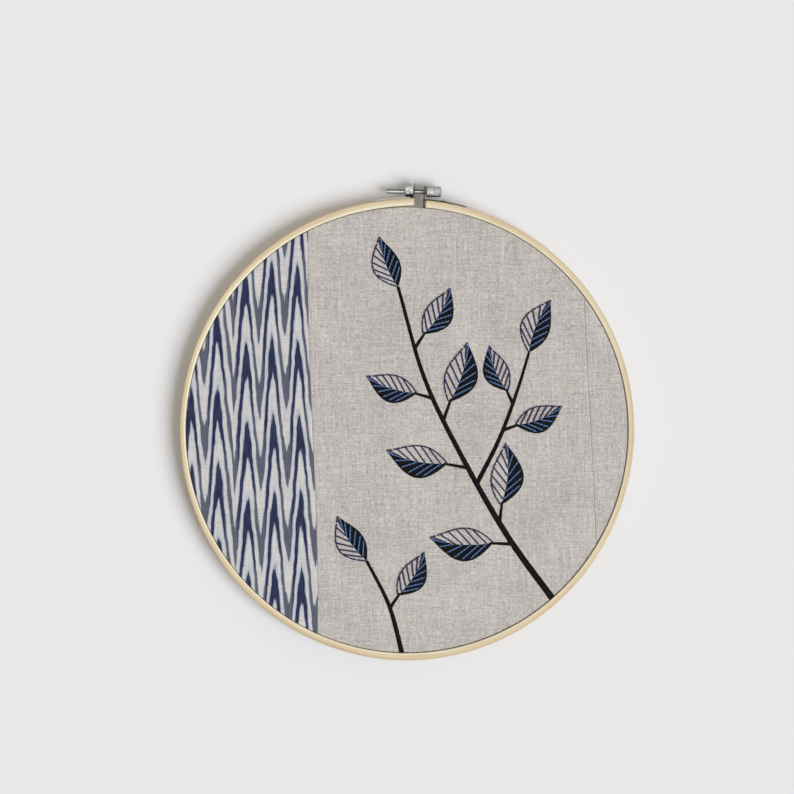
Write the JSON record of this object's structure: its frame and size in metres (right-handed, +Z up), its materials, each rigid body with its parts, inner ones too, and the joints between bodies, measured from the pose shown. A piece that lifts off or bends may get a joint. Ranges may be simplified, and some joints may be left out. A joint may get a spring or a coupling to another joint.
{
  "type": "hoop embroidery art, patched cloth in a wooden embroidery hoop",
  "caption": "Round wall art: patched and embroidered cloth stretched in a split bamboo embroidery hoop, closed by a screw clamp at the top.",
  "frame": {"origin": "where a nail carries the hoop: on the wall plane, under the top of the inner ring's inside face", "axes": "+Z up towards the clamp, +X to the right seen from the front, the cloth faces -Y and the wall is the plane Y = 0"},
  "size_m": [0.305, 0.0118, 0.3206],
  "materials": {
    "bamboo": "pale bamboo strip, thin clear lacquer, satin",
    "ikat_cotton": "plain-woven cotton with off-white, navy and slate-grey zigzag dyeing",
    "linen": "natural plain-woven linen with slubs, matte",
    "plated_steel": "bright zinc plating, slightly dulled",
    "print_ink": "matte black printing ink on the linen's threads",
    "thread_navy": "stranded cotton floss, soft sheen",
    "thread_blue": "stranded cotton floss, soft sheen"
  },
  "bodies": {
    "root": {"outer_hoop": "bamboo", "inner_hoop": "bamboo", "ikat_panel": "ikat_cotton", "linen_panel": "linen", "linen_side_panel": "linen", "bracket_left": "plated_steel", "bracket_right": "plated_steel", "clamp_screw": "plated_steel", "clamp_nut": "plated_steel", "rivet_left": "plated_steel", "rivet_right": "plated_steel"}
  },
  "joints": []
}
